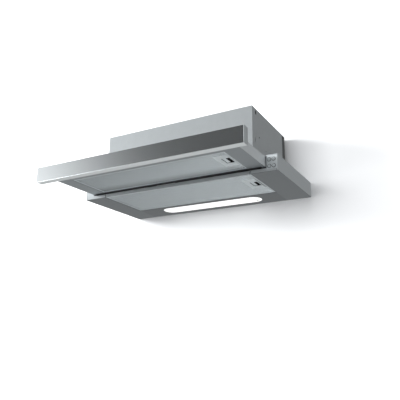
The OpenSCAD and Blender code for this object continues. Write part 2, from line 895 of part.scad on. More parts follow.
// A half-disc flap with a hinge bead and stub pins; the front one is drawn
module duct_flap() {
  translate([0, collar_y, flap_z]) {
    difference() {
      translate([0, 0, -flap_bead_r]) cylinder(r = flap_r, h = flap_t);
      slab([-collar_r, collar_r], [-flap_gap, collar_r], [-collar_r, collar_r]);
    }
    translate([0, -flap_gap, 0]) {
      bar_x(-flap_r + 3, flap_r - 3, flap_bead_r);
      bar_x(-collar_r + 0.8, collar_r - 0.8, flap_pin_r);
    }
  }
}

module duct_flap_front() {
  color(black_plastic) duct_flap();
}

module duct_flap_rear() {
  color(black_plastic) translate([0, 2 * collar_y, 0]) mirror([0, 1, 0]) duct_flap();
}

// Hangers of the slides, under the roof of the frame
module rail_brackets() {
  color(galvanised) both_sides() {
    slab([outer_x - bracket_t, outer_x], outer_rail_y + [2, -2], [slide_z - 10, roof_z]);
    slab([outer_x - 10, outer_x], outer_rail_y + [2, -2], [roof_z - 1.5, roof_z]);
  }
}

// A lipped channel of a slide, open to +X, about the slide's middle line
module channel(x0, x1, out, y) {
  translate([0, 0, slide_z]) {
    slab([x0, x0 + rail_t], y, [-out, out]);
    for (s = [0, 1]) mirror([0, 0, s]) {
      slab([x0, x1], y, [out - rail_t, out]);
      slab([x1 - rail_t, x1], y, [out - rail_t - lip, out - rail_t / 2]);
    }
  }
}

// Rails fixed to the brackets
module outer_rails() {
  color(zinc) both_sides() channel(outer_x, slide_x - 2, rail_h / 2, outer_rail_y);
}

// Rails between the fixed and the drawer's rails
module mid_rails() {
  color(zinc) both_sides() channel(outer_x + 2, slide_x - 3.5, mid_out, mid_rail_y);
}

// Rails on the drawer's side walls, open to the middle
module inner_rails() {
  color(zinc) both_sides() translate([0, 0, slide_z]) {
    slab([slide_x - rail_t, slide_x], inner_rail_y, [-inner_out, inner_out]);
    for (s = [0, 1]) mirror([0, 0, s])
      slab([slide_x - 8.5, slide_x], inner_rail_y, [inner_out - rail_t, inner_out]);
  }
}

// A cage with its balls: a web beside the rail's web and a strip through each row of balls
module ball_cage(web_x, row_z, y) {
  half_t = cage_strip / 2;
  pocket_r = ball_d / 2 + 0.1;
  translate([0, y, slide_z]) {
    difference() {
      union() {
        slab([web_x, web_x + cage_t], [-cage_len / 2, cage_len / 2],
             [-row_z - half_t, row_z + half_t]);
        for (z = [-row_z, row_z])
          slab([web_x, ball_x + pocket_r + 0.3], [-cage_len / 2, cage_len / 2],
               [z - half_t, z + half_t]);
      }
      for (z = [-row_z, row_z], i = [0:ball_count - 1])
        translate([ball_x, (i - (ball_count - 1) / 2) * ball_pitch, z - over])
          cylinder(r = pocket_r, h = 2 * over);
    }
    for (z = [-row_z, row_z], i = [0:ball_count - 1])
      translate([ball_x, (i - (ball_count - 1) / 2) * ball_pitch, z])
        sphere(d = ball_d, $fn = 12);
  }
}

module outer_ball_cages() {
  color(zinc) both_sides() ball_cage(outer_x + rail_t + 0.3, outer_ball, outer_cage_y);
}

module inner_ball_cages() {
  color(zinc) both_sides() ball_cage(outer_x + 2 + rail_t + 0.3, inner_ball, inner_cage_y);
}

// Front panel: a box profile of brushed steel, open at its ends
module front_panel() {
  end = half_w - 1;
  r = 1.2;
  color(stainless) difference() {
    translate([-end, 0, 0]) rotate([90, 0, 90]) linear_extrude(2 * end) difference() {
      rounded([panel_front, panel_back], [0, panel_h], r);
      translate([panel_front + sheet, sheet])
        square([panel_d - 2 * sheet, panel_h - 2 * sheet]);
    }
    for (x = panel_screw_x)
      translate([x, 0, slide_z]) bar_y(panel_back - 2 * sheet, panel_back + over, 2.1);
  }
}

// Caps that close the ends of the front panel
module panel_end_caps() {
  end = half_w - 1;
  plug = sheet + seat;
  color(moulded) both_sides() {
    translate([end, 0, 0]) rotate([90, 0, 90]) linear_extrude(1)
      rounded([panel_front, panel_back], [0, panel_h], 1.2);
    difference() {
      slab([end - 10, end], [panel_front + plug, panel_back - plug], [plug, panel_h - plug]);
      slab([end - 11, end - 1], [panel_front + plug + 1.5, panel_back - plug - 1.5],
           [plug + 1.5, panel_h - plug - 1.5]);
    }
  }
}

// Drawer: underside with the filter's opening, side channels for the slides, and front wall
module drawer_pan() {
  fx = front_half + filter_gap;
  pan_half = drawer_half - arm_flange;
  color(galvanised) difference() {
    union() {
      slab([-pan_half, pan_half], [panel_back, pan_back], [pan_z, pan_z + sheet]);
      slab([-fx - sheet, fx + sheet], [front_open[0] - sheet, front_open[1] + sheet],
           [pan_z, pan_z + sheet + pan_flange_h]);
    }
    slab([-fx, fx], front_open, [pan_z - over, pan_z + 20]);
    hinge_holes(front_half, front_filter_y, front_filter_z);
    slab([fx - over, fx + sheet + over], about(front_latch_y, bolt_w / 2 + 0.4),
         [front_filter_z + bolt_low - 0.4, front_filter_z + bolt_low + bolt_t + 0.4]);
  }
}

// Upright front of the drawer, which the panel is screwed to
module drawer_front_wall() {
  wall_half = drawer_half - sheet;
  color(galvanised) difference() {
    slab([-wall_half, wall_half], [panel_back, panel_back + sheet], [pan_z + sheet, cover_z]);
    for (x = panel_screw_x)
      translate([x, 0, slide_z]) bar_y(panel_back - over, panel_back + 2 * sheet, 2.1);
  }
}

// Arms that carry the inner rails, and the side walls of the drawer's air space
module drawer_sides() {
  color(galvanised) both_sides() {
    slab([drawer_half - sheet, drawer_half], [panel_back, arm_back], [pan_z, drawer_top]);
    slab([drawer_half - arm_flange, drawer_half], [panel_back, arm_back],
         [pan_z, pan_z + sheet]);
    slab([channel_x - sheet, channel_x], [panel_back + sheet, pan_back],
         [pan_z + sheet, cover_z]);
  }
}

// Roof of the drawer's air space
module drawer_cover() {
  color(galvanised) {
    slab([-channel_x, channel_x], [panel_back, pan_back], [cover_z, cover_z + sheet]);
  }
}

// Rubber stops between the closed panel and the shelves
module drawer_bumpers() {
  color(black_plastic) for (x = [-1, 1])
    translate([x * (shelf_x + bumper_in), 0, shelf_h / 2])
      bar_y(panel_back, panel_back + closing_gap - 0.15, shelf_h / 2 - 1);
}

// Screws that hold the panel on the drawer's front wall
module panel_screws() {
  color(zinc) for (x = panel_screw_x)
    translate([x, panel_back + sheet, slide_z]) rotate([-90, 0, 0]) screw(3.6, 2, sheet + panel_screw_l);
}

// Screws that hold the casing on the frame, the rear cover on the casing and the duct collar
module casing_screws() {
  color(zinc) {
    for (x = casing_screw_x)
      translate([x, casing_screw_y, frame_h + sheet]) screw(3.6, 1.5, 2 * sheet + 1);
    for (x = casing_screw_x)
      translate([x, casing_back, hood_h - 20]) rotate([-90, 0, 0]) screw(3.6, 1.5, 2 * sheet + 1);
    at_ears() translate([0, 0, 2]) screw(3, 1.5, 2 + sheet + 1);
  }
}

// Rivets that hold the bar and the lamp's band on the shelves of the end boxes
module tab_rivets() {
  color(zinc) for (x = [-tab_x, tab_x], y = tab_y)
    translate([x, y, shelf_h + 1.2]) {
      translate([0, 0, -2.7]) cylinder(r = 1.5, h = 3);
      cylinder(r = 2.6, h = 0.6);
    }
}

// Rim of a filter: a channel round the mesh, rolled at its left edge where it hinges
module filter_rim(half, y, z) {
  top = z + filter_t;
  hinge = [-half + hinge_r, 0, z + hinge_r];
  difference() {
    union() {
      slab([-half + hinge_r, half], y, [z, top]);
      slab([-half, half], y, [z + hinge_r, top]);
      translate(hinge) bar_y(y[0], y[1], hinge_r);
      translate(hinge) bar_y(y[0] - filter_gap - 1.2, y[1] + filter_gap + sheet, hinge_pin_r);
    }
    slab([-half + rim_w + hinge_r, half - rim_w], y + [rim_w, -rim_w], [z - over, top + over]);
    slab([-half + rim_w + hinge_r - 2, half - rim_w + 2], y + [rim_w - 2, -rim_w + 2],
         [z + 1, top - 1]);
  }
}

// Expanded-metal pad of a filter, cut out round the latch
module filter_mesh(half, y, z, latch_x, latch_y) {
  difference() {
    slab([-half + rim_w + hinge_r - 1.9, half - rim_w + 1.9], y + [rim_w - 1.9, -rim_w + 1.9],
         [z + 1.1, z + filter_t - 1.1]);
    slab([latch_x + pocket_left - pocket_wall - 0.5, half], about(latch_y, pocket_l / 2 + 1.5),
         [z - over, z + 20]);
  }
}

// Latch housing: a plate in the filter's face and a pocket that the finger reaches into
module latch_plate(x, y, z) {
  deep = z + pocket_top + 1;
  outer_y = about(y, pocket_l / 2);
  translate([x, 0, 0]) difference() {
    union() {
      translate([0, 0, z - proud]) linear_extrude(plate_t)
        rounded([-latch_w / 2, latch_w / 2], about(y, latch_l / 2), 2);
      slab([pocket_left - pocket_wall, pocket_right + pocket_wall], outer_y, [z, deep]);
    }
    slab([pocket_left, pocket_right], outer_y + [pocket_wall, -pocket_wall],
         [z - proud + plate_t, deep - 1]);
    slab([window_left, pocket_right], about(y, window_l / 2), [z - over, z + plate_t + over]);
    slab([pocket_left, pocket_right + 2 * over],
         about(y, bolt_w / 2 + 0.3), [z + bolt_low - 0.3, z + bolt_low + bolt_t + 0.3]);
  }
}

// Latch bolt: the grip that a finger pulls, and the tongue that holds the filter up
module latch_bolt(x, y, z, tip) {
  translate([x, 0, 0]) {
    slab([grip_left, grip_left + grip_w], about(y, window_l / 2 - 1),
         [z + grip_low, z + bolt_low + bolt_t]);
    difference() {
      slab([grip_left - 2, tip - x], about(y, bolt_w / 2), [z + bolt_low, z + bolt_low + bolt_t]);
      slab([grip_left + grip_w + 3, grip_left + grip_w + 6], about(y, 4), [z, z + 20]);
    }
  }
}

module front_filter_rim() {
  color(mesh_grey) difference() {
    filter_rim(front_half, front_filter_y, front_filter_z);
    bolt_way(front_half, front_latch_y, front_filter_z);
  }
}

module rear_filter_rim() {
  color(mesh_grey) difference() {
    filter_rim(rear_half, rear_filter_y, rear_filter_z);
    bolt_way(rear_half, rear_latch_y, rear_filter_z);
  }
}

// Way of a latch bolt through the right side of a filter's rim
module bolt_way(half, latch_y, z) {
  slab([half - rim_w - over, half + over], about(latch_y, bolt_w / 2 + 0.3),
       [z + bolt_low - 0.3, z + filter_t + over]);
}

module front_filter_mesh() {
  color(mesh_grey) filter_mesh(front_half, front_filter_y, front_filter_z, front_latch_x, front_latch_y);
}

module rear_filter_mesh() {
  color(mesh_grey) filter_mesh(rear_half, rear_filter_y, rear_filter_z, rear_latch_x, rear_latch_y);
}

module front_latch_plate() {
  color(moulded) latch_plate(front_latch_x, front_latch_y, front_filter_z);
}

module rear_latch_plate() {
  color(moulded) latch_plate(rear_latch_x, rear_latch_y, rear_filter_z);
}

module front_latch_bolt() {
  color(moulded) latch_bolt(front_latch_x, front_latch_y, front_filter_z, front_bolt_tip);
}

module rear_latch_bolt() {
  color(moulded) latch_bolt(rear_latch_x, rear_latch_y, rear_filter_z, rear_bolt_tip);
}

// Switch under the roof of the frame, at the end of the drawer's travel
module microswitch() {
  top = roof_z;
  color(black_plastic) difference() {
    slab(switch_x, [switch_front, switch_front + switch_l], [top - switch_h, top]);
    for (y = [5, 14.8]) translate([0, switch_front + y, top - 7])
      bar_x(switch_x[0] - over, switch_x[1] + over, 1.1);
  }
}

// Lever of that switch, hinged at its top and reaching forward to the drawer's cover
module switch_lever() {
  x = [switch_x[0] + 1.5, switch_x[1] - 1.5];
  color(zinc) translate([0, switch_front - 0.8, roof_z - 1.2]) {
    bar_x(x[0], x[1], 0.7);
    rotate([-lever_lean, 0, 0]) slab(x, about(0, lever_t / 2), [-lever_l, 0]);
  }
}

upper_casing();
rear_casing();
frame_pan();
front_crossbar();
left_end_box();
right_end_box();
lamp_panel();
lamp_lens();
lamp_housing();
led_board();
led_driver();
keypad_plate();
keypad_board();
volute_left();
volute_right();
motor();
motor_spider();
capacitor();
terminal_box();
cable_gland();
duct_collar();
rail_brackets();
outer_rails();
microswitch();
casing_screws();
blower_screws();
tab_rivets();
wheel_disc();
left_blade_ring();
right_blade_ring();
motor_shaft();
duct_flap_front();
duct_flap_rear();
mid_rails();
outer_ball_cages();
inner_ball_cages();
front_panel();
panel_end_caps();
drawer_pan();
drawer_front_wall();
drawer_sides();
drawer_cover();
inner_rails();
drawer_bumpers();
panel_screws();
front_filter_rim();
front_filter_mesh();
front_latch_plate();
front_latch_bolt();
rear_filter_rim();
rear_filter_mesh();
rear_latch_plate();
rear_latch_bolt();
button(0, 1);  // light_button
button(1, 1);  // low_button
button(0, 0);  // medium_button
button(1, 0);  // high_button
switch_lever();
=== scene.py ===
"""Dressing and stage of a pull-out range hood: finishes, filter mesh, clips, lamp, wall and light."""

import math
from collections import namedtuple

import bmesh
import bpy
from bpy.props import FloatProperty, FloatVectorProperty, PointerProperty
from mathutils import Matrix, Vector


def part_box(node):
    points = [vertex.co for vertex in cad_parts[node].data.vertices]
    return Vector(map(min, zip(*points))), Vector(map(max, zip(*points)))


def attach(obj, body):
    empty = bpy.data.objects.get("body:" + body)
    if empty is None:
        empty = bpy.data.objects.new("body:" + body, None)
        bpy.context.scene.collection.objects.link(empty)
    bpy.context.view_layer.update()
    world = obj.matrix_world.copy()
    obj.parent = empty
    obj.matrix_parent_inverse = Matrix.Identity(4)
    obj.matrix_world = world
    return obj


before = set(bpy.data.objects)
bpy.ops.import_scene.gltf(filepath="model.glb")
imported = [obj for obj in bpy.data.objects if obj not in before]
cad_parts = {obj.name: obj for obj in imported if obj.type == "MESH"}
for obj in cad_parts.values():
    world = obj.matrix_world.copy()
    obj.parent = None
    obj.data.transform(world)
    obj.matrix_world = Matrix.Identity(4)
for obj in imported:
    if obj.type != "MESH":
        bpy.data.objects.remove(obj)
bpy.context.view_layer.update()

bl_info = {
    "name": "Pull-out Range Hood",
    "version": (1, 0, 0),
    "blender": (4, 5, 0),
    "location": "View3D > Sidebar > Range Hood",
    "description": "Finishes, fine parts and stage of a pull-out range hood",
    "category": "Object",
}

# Height over which the underside of a piece counts as its face
FACE = 0.0006
# Half the width of the step between two finishes
CRISP = 0.00005


# Sizes, colours and stage


def metres(name, text, value, low, high):
    """A length in metres."""
    return FloatProperty(
        name=name, description=text, default=value, min=low, max=high, unit="LENGTH", precision=5
    )


def shade(name, text, value):
    """A colour."""
    return FloatVectorProperty(
        name=name, description=text, default=value, subtype="COLOR", size=3, min=0.0, max=1.0
    )


def angle(name, text, degrees, limit=90.0):
    """An angle, given in degrees and kept in radians."""
    most = math.radians(limit)
    return FloatProperty(
        name=name, description=text, default=math.radians(degrees), min=-most, max=most, subtype="ANGLE"
    )


def watts(name, text, value):
    """The power of a lamp."""
    return FloatProperty(name=name, description=text, default=value, min=0.0, max=500.0, unit="POWER")


class HoodColours(bpy.types.PropertyGroup):
    """Colours of the hood's materials."""

    steel: shade("Steel", "Brushed steel of the front panel", (0.667, 0.705, 0.722))
    paint: shade("Silver paint", "Painted casing", (0.458, 0.490, 0.505))
    # The rear cover is a darker sheet, and darker still as painted shade near the wall
    cover: shade("Rear cover", "Dull sheet of the casing's rear cover", (0.102, 0.108, 0.112))
    sheet: shade("Sheet", "Plain sheet of the frame and the drawer", (0.432, 0.460, 0.475))
    face: shade("Underside", "Bare brushed undersides of the end boxes and the drawer", (0.346, 0.378, 0.396))
    moulding: shade("Moulding", "Moulded end boxes and end caps", (0.412, 0.445, 0.460))
    latch: shade("Latch", "Moulded face and grip of the latches", (0.67, 0.735, 0.755))
    filter: shade("Filter", "Expanded metal of the filters", (0.462, 0.505, 0.522))
    diffuser: shade("Diffuser", "Opal diffuser of the light", (0.96, 0.97, 0.96))
    black: shade("Black", "Black plastic of the blower and the collar", (0.025, 0.025, 0.027))
    zinc: shade("Zinc", "Zinc-plated screws, rails and cages", (0.60, 0.61, 0.63))
    white: shade("White", "White plastic of the lamp housing and the capacitor", (0.86, 0.87, 0.86))
    wheel: shade("Blower wheel", "Grey plastic of the blower wheel", (0.42, 0.43, 0.44))
    light_board: shade("Light board", "White lacquer of the light's board", (0.82, 0.83, 0.82))
    keypad_board: shade("Keypad board", "Green lacquer of the keypad's board", (0.03, 0.16, 0.07))
    rubber: shade("Rubber", "Black rubber of the grommet and the stops", (0.03, 0.03, 0.03))


class HoodSizes(bpy.types.PropertyGroup):
    """Sizes of the fine parts."""

    cell_x: metres("Mesh cell length", "Long way of a mesh cell", 0.0060, 0.003, 0.02)
    cell_y: metres("Mesh cell width", "Short way of a mesh cell", 0.0030, 0.002, 0.02)
    strand: metres("Strand", "Width of the strands between the cells", 0.00075, 0.0002, 0.002)
    mesh_height: metres("Mesh height", "Height of the mesh above the rim's face", 0.00065, 0.0, 0.002)


class HoodStage(bpy.types.PropertyGroup):
    """Camera, wall and light."""

    wall: shade("Wall", "White of the wall behind the hood", (0.849, 0.863, 0.878))
    glow: FloatProperty(
        name="Glow", description="Brightness of the lit diffuser, where 1 is white", default=0.76, min=0.0,
        max=4.0,
    )
    lens: FloatProperty(
        name="Lens", description="Focal length of the camera", default=44.86, min=20.0, max=120.0,
        unit="CAMERA",
    )
    azimuth: angle("Azimuth", "Turn of the camera from facing the wall", 29.62)
    elevation: angle("Elevation", "Upward tilt of the camera", 15.77)
    roll: angle("Roll", "Roll of the camera", 0.77, 10.0)
    place: FloatVectorProperty(
        name="Camera place", description="Place of the camera", default=(0.6930, -1.3298, -0.3940),
        size=3, subtype="TRANSLATION", unit="LENGTH",
    )
    side_power: watts("Side light", "Power of the light on the left", 64.0)
    side_turn: angle("Side light turn", "Direction of the light on the left", -50.0)
    side_tilt: angle("Side light tilt", "Height of the light on the left above the hood", 12.0)
    side_width: metres("Side light width", "Width of the light on the left", 0.70, 0.1, 4.0)
    front_power: watts("Front light", "Power of the light in front", 66.0)
    front_turn: angle("Front light turn", "Direction of the light in front", -9.0)
    front_tilt: angle("Front light tilt", "Height of the light in front above the hood", 6.0)
    front_width: metres("Front light width", "Width of the light in front", 1.50, 0.1, 4.0)
    fill_power: watts("Fill light", "Power of the low light on the right", 5.0)
    fill_turn: angle("Fill light turn", "Direction of the low light on the right", 15.0)
    fill_tilt: angle("Fill light tilt", "Height of the low light on the right above the hood", -15.0)
    fill_width: metres("Fill light width", "Width of the low light on the right", 0.80, 0.1, 4.0)
    light_height: metres("Light height", "Upright size of each light", 0.65, 0.1, 4.0)
    light_distance: metres("Light distance", "Distance of the lights from the hood", 2.80, 1.0, 8.0)
    aim: FloatVectorProperty(
        name="Aim", description="Point that the lights face", default=(0.1, -0.1, 0.0), size=3,
        subtype="TRANSLATION", unit="LENGTH",
    )
    rear_level: FloatProperty(
        name="Light from the wall", description="Part of white that reaches the hood from the wall's side",
        default=0.25, min=0.0, max=1.0, subtype="FACTOR",
    )


# Shader maths


# Coordinates of the point that is shaded, as three values and as their vector socket
Place = namedtuple("Place", "x y z vector")


class Value:
    """A number in a shader. Arithmetic on it adds Math nodes."""

    def __init__(self, shader, socket):
        self.shader = shader
        self.socket = socket

    def maths(self, operation, *others):
        """A Math node on this number and others."""
        return self.shader.maths(operation, self, *others)

    def __add__(self, other):
        return self.maths("ADD", other)

    def __sub__(self, other):
        return self.maths("SUBTRACT", other)

    def __mul__(self, other):
        return self.maths("MULTIPLY", other)

    def __pow__(self, other):
        return self.maths("POWER", other)

    def __radd__(self, other):
        return self.shader.maths("ADD", other, self)

    def __rsub__(self, other):
        return self.shader.maths("SUBTRACT", other, self)

    def __rmul__(self, other):
        return self.shader.maths("MULTIPLY", other, self)

    def __neg__(self):
        return self.maths("MULTIPLY", -1.0)

    def above(self, edge, soft):
        """0 below an edge and 1 above it, with a soft step."""
        step = self.shader.add(
            "ShaderNodeMapRange", {"interpolation_type": "SMOOTHSTEP"},
            {"Value": self, "From Min": edge - soft, "From Max": edge + soft},
        )
        return Value(self.shader, step.outputs["Result"])

    def wave(self, turn, shape="SINE"):
        """A wave between 0 and 1 along a length, with its turn in radians to the metre."""
        return (self * turn).maths(shape) * 0.5 + 0.5

    def within(self, low, high, soft):
        """1 between two edges and 0 outside them."""
        return self.above(low, soft) * (1 - self.above(high, soft))


class Shader:
    """The node tree of a material or of the world."""

    def __init__(self, owner):
        owner.use_nodes = True
        self.tree = owner.node_tree
        self.tree.nodes.clear()

    def add(self, kind, settings=None, inputs=None):
        """A node of a type, with its settings made first and then its sockets."""
        node = self.tree.nodes.new(kind)
        for name, value in (settings or {}).items():
            setattr(node, name, value)
        for name, value in (inputs or {}).items():
            socket = node.inputs[name]
            if isinstance(value, Value):
                self.tree.links.new(value.socket, socket)
            elif isinstance(value, bpy.types.NodeSocket):
                self.tree.links.new(value, socket)
            elif socket.type == "RGBA" and len(value) == 3:
                socket.default_value = (*value, 1.0)
            else:
                socket.default_value = value
        return node

    def maths(self, operation, *values):
        """A Math node on values or plain numbers."""
        node = self.add("ShaderNodeMath", {"operation": operation}, dict(enumerate(values)))
        return Value(self, node.outputs[0])

    def place(self, kind="Object"):
        """The coordinates of a kind, as three values and their vector socket. Object gives metres."""
        vector = self.add("ShaderNodeTexCoord").outputs[kind]
        parts = self.add("ShaderNodeSeparateXYZ", None, {"Vector": vector})
        return Place(*(Value(self, part) for part in parts.outputs), vector)

    def seen(self):
        """1 for rays from the camera, also through glass, and 0 for all others."""
        rays = self.add("ShaderNodeLightPath")
        camera = Value(self, rays.outputs["Is Camera Ray"])
        return camera.maths("MAXIMUM", Value(self, rays.outputs["Is Transmission Ray"]))

    def stretched(self, vector, scale):
        """A vector multiplied along each axis, so that a pattern gets its grain."""
        return self.add("ShaderNodeMapping", None, {"Vector": vector, "Scale": scale}).outputs[0]

    def noise(self, vector, scale, detail=2.0, roughness=0.6):
        """Fine grain from 0 to 1, with a scale in grains to the metre."""
        node = self.add(
            "ShaderNodeTexNoise", None,
            {"Vector": vector, "Scale": scale, "Detail": detail, "Roughness": roughness},
        )
        return Value(self, node.outputs["Fac"])

    def blend(self, share, first, second):
        """A colour between two colours. The Mix node's colour sockets go by number, as their names repeat."""
        node = self.add("ShaderNodeMix", {"data_type": "RGBA"}, {0: share, 6: first, 7: second})
        return node.outputs[2]

    def relief(self, height, distance, strength):
        """A Bump node's normal from a height."""
        inputs = {"Height": height, "Distance": distance, "Strength": strength}
        return self.add("ShaderNodeBump", None, inputs).outputs["Normal"]

    def surface(self, **sockets):
        """A Principled shader on the output. Underscores in a name stand for spaces."""
        inputs = {name.replace("_", " "): value for name, value in sockets.items()}
        principled = self.add("ShaderNodeBsdfPrincipled", None, inputs)
        self.add("ShaderNodeOutputMaterial", None, {"Surface": principled.outputs["BSDF"]})


def new_material(name):
    """An empty material and the shader that fills it."""
    material = bpy.data.materials.new(name)
    return material, Shader(material)


def lighter(colour, factor):
    """A colour made lighter or darker."""
    return tuple(min(1.0, part * factor) for part in colour)


# Finishes


def brushed_steel(name, colour, grain, roughness, lip_z, lip_highlight):
    """Steel brushed along X, in fine lines that vary its gloss. Its lip, below a height, is brighter: a
    painted highlight.
    """
    material, shader = new_material(name)
    at = shader.place()
    lines = shader.noise(shader.stretched(at.vector, (6.0, grain, grain)), 1.0)
    broad = shader.noise(shader.stretched(at.vector, (1.5, 60.0, 60.0)), 1.0, roughness=0.5)
    tone = shader.blend(lines * 0.8 + broad * 0.2, lighter(colour, 0.96), lighter(colour, 1.03))
    shader.surface(
        # Painted highlight: a brighter colour on the lip below its height
        Base_Color=shader.blend(1 - at.z.above(lip_z, CRISP), tone, lip_highlight),
        Metallic=1.0,
        Roughness=lines * 0.06 + broad * 0.02 + (roughness - 0.04),
        Normal=shader.relief(lines, 0.000004, 0.3),
    )
    return material


def painted_edge_shade(shader, y, edge, tone, shade_tone):
    """A tone that painted shade darkens by half towards an edge at a depth, where it has one."""
    if edge is None:
        return tone
    # Painted shade: darker over about the last 20 mm before the edge
    reach, soft = 0.020, 0.024
    return shader.blend(y.above(edge - reach, soft) * 0.5, tone, shade_tone)


def sheet_metal(name, colour, roughness, metal, mottle=0.06, edge=None):
    """Smooth sheet with a faint mottle, as of zinc or a thin coat of paint. Painted shade may darken it at an
    edge.
    """
    material, shader = new_material(name)
    at = shader.place()
    cloud = shader.noise(at.vector, 55.0, detail=3.0)
    grit = shader.noise(at.vector, 1400.0)
    tone = shader.blend(cloud, lighter(colour, 1 - mottle), lighter(colour, 1 + mottle))
    shader.surface(
        Base_Color=painted_edge_shade(shader, at.y, edge, tone, lighter(colour, 0.12)),
        Metallic=metal,
        Roughness=cloud * 0.08 + grit * 0.06 + (roughness - 0.07),
        Normal=shader.relief(grit, 0.00003, 0.35),
    )
    return material


def clad(name, side, face, face_z, roughness, gap_shade_y=None, gap_shade=None):
    """Smooth silver sides and a bare brushed face below a height. A dark strip of painted shade may lie
    behind a depth.
    """
    material, shader = new_material(name)
    at = shader.place()
    bare = 1 - at.z.above(face_z, CRISP)
    grit = shader.noise(at.vector, 1500.0)
    lines = shader.noise(shader.stretched(at.vector, (1100.0, 8.0, 1100.0)), 1.0)
    rubbed = shader.blend(lines, lighter(face, 0.92), lighter(face, 1.08))
    tone = shader.blend(bare, side, rubbed)
    metal = 0.2 + bare * 0.75
    if gap_shade:
        # Painted shade: a dark, non-metal strip behind the depth
        strip = at.y.above(gap_shade_y, CRISP)
        tone = shader.blend(strip, tone, gap_shade)
        metal = metal * (1 - strip)
    shader.surface(
        Base_Color=tone,
        Metallic=metal,
        Roughness=roughness - bare * 0.06 + grit * 0.08 + lines * bare * 0.06,
        Normal=shader.relief(grit * (1 - bare) + lines * bare, 0.00003, 0.35),
    )
    return material


def moulded_plastic(name, colour, roughness, metal=0.0, grit_height=0.00004, coat=0.0):
    """Moulded plastic with a fine spark-eroded grain."""
    material, shader = new_material(name)
    vector = shader.place().vector
    grit = shader.noise(vector, 1800.0)
    cloud = shader.noise(vector, 24.0, roughness=0.5)
    tone = shader.blend(cloud, lighter(colour, 0.96), lighter(colour, 1.04))
    shader.surface(
        Base_Color=tone,
        Metallic=metal,
        Roughness=grit * 0.10 + cloud * 0.04 + (roughness - 0.07),
        Coat_Weight=coat,
        Normal=shader.relief(grit, grit_height, 0.4),
    )
    return material


def board(name, colour):
    """Lacquered circuit board."""
    return moulded_plastic(name, colour, roughness=0.35, grit_height=0.00001, coat=0.3)


def rubber(name, colour):
    """Matt rubber."""
    material, shader = new_material(name)
    grit = shader.noise(shader.place().vector, 900.0, detail=3.0)
    shader.surface(
        Base_Color=shader.blend(grit, lighter(colour, 0.8), lighter(colour, 1.3)),
        Roughness=grit * 0.15 + 0.62,
        Normal=shader.relief(grit, 0.00006, 0.5),
    )
    return material


def filter_pad(name, colour, edge):
    """Core of a filter: layers of fine expanded metal, with painted shade between the strands and towards an
    edge.
    """
    material, shader = new_material(name)
    at = shader.place()
    ripple = shader.noise(shader.stretched(at.vector, (420.0, 900.0, 300.0)), 1.0, roughness=0.5)
    # Cells of 3 by 1.5 mm
    weave = at.x.wave(2094.0) * at.y.wave(4188.0)
    strand = (weave * 0.7 + ripple * 0.3).above(0.36, 0.16)
    # Painted shade: the openings between the strands are dark
    tone = shader.blend(strand, lighter(colour, 0.32), lighter(colour, 0.95))
    shader.surface(
        Base_Color=painted_edge_shade(shader, at.y, edge, tone, lighter(colour, 0.10)),
        Metallic=0.85,
        Roughness=0.50 - strand * 0.14,
        Normal=shader.relief(strand, 0.0003, 0.5),
    )
    return material


def latch_plastic(name, colour, black, pocket_shade_z):
    """A latch: silver at its face and black from a height up, as painted shade inside its pocket."""
    material, shader = new_material(name)
    at = shader.place()
    grit = shader.noise(at.vector, 1800.0)
    shader.surface(
        Base_Color=shader.blend(at.z.above(pocket_shade_z, CRISP), colour, black),
        Roughness=grit * 0.10 + 0.40,
        Normal=shader.relief(grit, 0.00004, 0.4),
    )
    return material


def distance(across, along, middle):
    """Distance from a middle, in the plane of two coordinates."""
    return ((across - middle[0]) ** 2.0 + (along - middle[1]) ** 2.0).maths("SQRT")


def keypad_face(name, colour, black, middles, inner, outer):
    """Keypad's face, with a dark printed ring round each button."""
    material, shader = new_material(name)
    at = shader.place()
    rings = sum(distance(at.x, at.z, middle).within(inner, outer, 0.00012) for middle in middles)
    grit = shader.noise(at.vector, 1800.0)
    shader.surface(
        Base_Color=shader.blend(rings, colour, black),
        Metallic=0.25,
        Roughness=grit * 0.08 + 0.36,
        Normal=shader.relief(grit, 0.00003, 0.4),
    )
    return material


def opal_glow(name, colour, strength, screw, screw_shade_radius):
    """Opal diffuser, lit from behind, with the chips just showing. It is dark and dim round its screw:
    painted shade.
    """
    material, shader = new_material(name)
    at = shader.place()
    # Chips 18.4 mm apart
    chips = at.x.wave(341.0, "COSINE")
    # Painted shade: a dark disc round the screw, in colour and in glow
    screw_shade = 1 - distance(at.x, at.y, screw).above(screw_shade_radius, 0.0006)
    body = shader.blend(chips, lighter(colour, 0.97), colour)
    glow = shader.blend(chips, lighter(colour, 0.96), colour)
    shader.surface(
        Base_Color=shader.blend(screw_shade, body, lighter(colour, 0.20)),
        Roughness=0.35,
        Emission_Color=shader.blend(screw_shade, glow, lighter(colour, 0.08)),
        Emission_Strength=strength,
    )
    return material


# Meshes and pieces


def new_object(name, mesh_maker, material):
    """Makes an object with a mesh that a function builds in a bmesh."""
    bm = bmesh.new()
    mesh_maker(bm)
    mesh = bpy.data.meshes.new(name)
    bm.to_mesh(mesh)
    bm.free()
    mesh.materials.append(material)
    piece = bpy.data.objects.new(name, mesh)
    bpy.context.scene.collection.objects.link(piece)
    return piece


def new_piece(name, mesh_maker, material, body):
    """Makes a piece and lets it ride on a body."""
    piece = new_object(name, mesh_maker, material)
    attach(piece, body)


